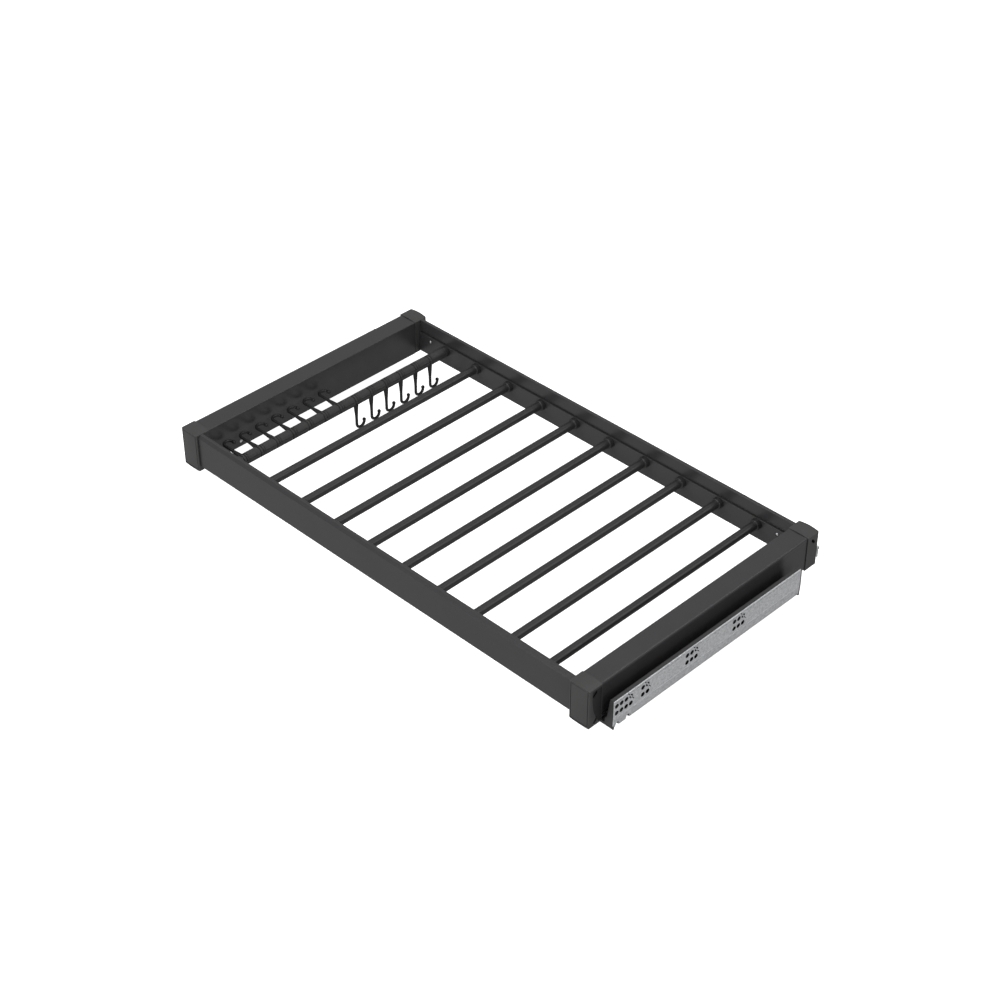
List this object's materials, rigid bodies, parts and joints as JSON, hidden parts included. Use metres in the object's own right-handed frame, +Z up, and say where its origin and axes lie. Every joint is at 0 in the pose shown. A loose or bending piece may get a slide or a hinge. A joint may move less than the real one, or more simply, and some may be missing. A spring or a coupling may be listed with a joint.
{
  "type": "pull out trouser rack",
  "caption": "Pull out trouser rack for a wardrobe: a slim frame of cross bars with a row of swivel belt hooks, carried on telescopic side runners",
  "frame": {"origin": "centre of the bounding box in X and Y, at the lowest point of the hanging hooks", "axes": "+X to the right seen from the front, -Y toward the user in the direction of pull, +Z up"},
  "size_m": [0.867, 0.482, 0.0872],
  "materials": {
    "frame": "fine textured dark grey powder coat",
    "cap": "moulded dark grey plastic with a satin grain",
    "bar": "dark grey coated tube",
    "sleeve": "moulded dark grey plastic with a ribbed grip field",
    "hook": "moulded near black plastic",
    "cover": "moulded near black plastic",
    "steel": "zinc plated rolled steel sheet",
    "roller": "pale bearing plastic"
  },
  "bodies": {
    "cabinet_side": {"left_cabinet_member": "steel", "left_runner_cover": "cover", "right_cabinet_member": "steel", "right_runner_cover": "cover"},
    "rack": {"front_rail": "frame", "rear_rail": "frame", "left_rail": "frame", "right_rail": "frame", "front_left_cap": "cap", "front_right_cap": "cap", "rear_left_cap": "cap", "rear_right_cap": "cap", "hook_bar": "bar", "trouser_bar_1": "bar", "trouser_bar_2": "bar", "trouser_bar_3": "bar", "trouser_bar_4": "bar", "trouser_bar_5": "bar", "trouser_bar_6": "bar", "trouser_bar_7": "bar", "trouser_bar_8": "bar", "trouser_bar_9": "bar", "spacer_sleeve_1": "sleeve", "spacer_sleeve_2": "sleeve", "spacer_sleeve_3": "sleeve", "spacer_sleeve_4": "sleeve", "spacer_sleeve_5": "sleeve", "spacer_sleeve_6": "sleeve", "spacer_sleeve_7": "sleeve", "spacer_sleeve_8": "sleeve", "spacer_sleeve_9": "sleeve", "spacer_sleeve_10": "sleeve", "spacer_sleeve_11": "sleeve", "spacer_sleeve_12": "sleeve", "spacer_sleeve_13": "sleeve", "spacer_sleeve_14": "sleeve", "left_drawer_member": "steel", "right_drawer_member": "steel"},
    "left_intermediate_member_body": {"left_intermediate_member": "steel"},
    "left_upper_carriage_body": {"left_upper_carriage": "roller"},
    "left_lower_carriage_body": {"left_lower_carriage": "roller"},
    "right_intermediate_member_body": {"right_intermediate_member": "steel"},
    "right_upper_carriage_body": {"right_upper_carriage": "roller"},
    "right_lower_carriage_body": {"right_lower_carriage": "roller"},
    "hook_1_body": {"hook_1": "hook"},
    "hook_2_body": {"hook_2": "hook"},
    "hook_3_body": {"hook_3": "hook"},
    "hook_4_body": {"hook_4": "hook"},
    "hook_5_body": {"hook_5": "hook"},
    "hook_6_body": {"hook_6": "hook"},
    "hook_7_body": {"hook_7": "hook"},
    "hook_8_body": {"hook_8": "hook"},
    "hook_9_body": {"hook_9": "hook"},
    "hook_10_body": {"hook_10": "hook"},
    "hook_11_body": {"hook_11": "hook"},
    "hook_12_body": {"hook_12": "hook"},
    "hook_13_body": {"hook_13": "hook"}
  },
  "joints": [
    {"name": "pull_out", "type": "slide", "parent": "cabinet_side", "child": "rack", "axis": [0, -1, 0], "range_m": [0, 0.35]},
    {"name": "left_intermediate_member_travel", "type": "slide", "parent": "cabinet_side", "child": "left_intermediate_member_body", "axis": [0, -1, 0], "range_m": [0, 0.175]},
    {"name": "left_upper_carriage_travel", "type": "slide", "parent": "cabinet_side", "child": "left_upper_carriage_body", "axis": [0, -1, 0], "range_m": [0, 0.2625]},
    {"name": "left_lower_carriage_travel", "type": "slide", "parent": "cabinet_side", "child": "left_lower_carriage_body", "axis": [0, -1, 0], "range_m": [0, 0.0875]},
    {"name": "right_intermediate_member_travel", "type": "slide", "parent": "cabinet_side", "child": "right_intermediate_member_body", "axis": [0, -1, 0], "range_m": [0, 0.175]},
    {"name": "right_upper_carriage_travel", "type": "slide", "parent": "cabinet_side", "child": "right_upper_carriage_body", "axis": [0, -1, 0], "range_m": [0, 0.2625]},
    {"name": "right_lower_carriage_travel", "type": "slide", "parent": "cabinet_side", "child": "right_lower_carriage_body", "axis": [0, -1, 0], "range_m": [0, 0.0875]},
    {"name": "hook_1_swivel", "type": "hinge", "parent": "rack", "child": "hook_1_body", "pos_m": [-0.3171, -0.2003, 0.0564], "axis": [0, 1, 0], "range_deg": [-180, 5]},
    {"name": "hook_2_swivel", "type": "hinge", "parent": "rack", "child": "hook_2_body", "pos_m": [-0.3171, -0.16897, 0.0564], "axis": [0, 1, 0], "range_deg": [-180, 5]},
    {"name": "hook_3_swivel", "type": "hinge", "parent": "rack", "child": "hook_3_body", "pos_m": [-0.3171, -0.13764, 0.0564], "axis": [0, 1, 0], "range_deg": [-180, 5]},
    {"name": "hook_4_swivel", "type": "hinge", "parent": "rack", "child": "hook_4_body", "pos_m": [-0.3171, -0.10631, 0.0564], "axis": [0, 1, 0], "range_deg": [-180, 5]},
    {"name": "hook_5_swivel", "type": "hinge", "parent": "rack", "child": "hook_5_body", "pos_m": [-0.3171, -0.07498, 0.0564], "axis": [0, 1, 0], "range_deg": [-180, 5]},
    {"name": "hook_6_swivel", "type": "hinge", "parent": "rack", "child": "hook_6_body", "pos_m": [-0.3171, -0.04365, 0.0564], "axis": [0, 1, 0], "range_deg": [-180, 5]},
    {"name": "hook_7_swivel", "type": "hinge", "parent": "rack", "child": "hook_7_body", "pos_m": [-0.3171, -0.01232, 0.0564], "axis": [0, 1, 0], "range_deg": [-180, 5]},
    {"name": "hook_8_swivel", "type": "hinge", "parent": "rack", "child": "hook_8_body", "pos_m": [-0.3171, 0.01901, 0.0564], "axis": [0, 1, 0], "range_deg": [-90, 95]},
    {"name": "hook_9_swivel", "type": "hinge", "parent": "rack", "child": "hook_9_body", "pos_m": [-0.3171, 0.05034, 0.0564], "axis": [0, 1, 0], "range_deg": [-90, 95]},
    {"name": "hook_10_swivel", "type": "hinge", "parent": "rack", "child": "hook_10_body", "pos_m": [-0.3171, 0.08167, 0.0564], "axis": [0, 1, 0], "range_deg": [-90, 95]},
    {"name": "hook_11_swivel", "type": "hinge", "parent": "rack", "child": "hook_11_body", "pos_m": [-0.3171, 0.113, 0.0564], "axis": [0, 1, 0], "range_deg": [-90, 95]},
    {"name": "hook_12_swivel", "type": "hinge", "parent": "rack", "child": "hook_12_body", "pos_m": [-0.3171, 0.14433, 0.0564], "axis": [0, 1, 0], "range_deg": [-90, 95]},
    {"name": "hook_13_swivel", "type": "hinge", "parent": "rack", "child": "hook_13_body", "pos_m": [-0.3171, 0.17566, 0.0564], "axis": [0, 1, 0], "range_deg": [-90, 95]}
  ],
  "couplings": [
    {"joint": "left_intermediate_member_travel", "follows": "pull_out", "ratio": 0.5},
    {"joint": "left_upper_carriage_travel", "follows": "pull_out", "ratio": 0.75},
    {"joint": "left_lower_carriage_travel", "follows": "pull_out", "ratio": 0.25},
    {"joint": "right_intermediate_member_travel", "follows": "pull_out", "ratio": 0.5},
    {"joint": "right_upper_carriage_travel", "follows": "pull_out", "ratio": 0.75},
    {"joint": "right_lower_carriage_travel", "follows": "pull_out", "ratio": 0.25}
  ]
}
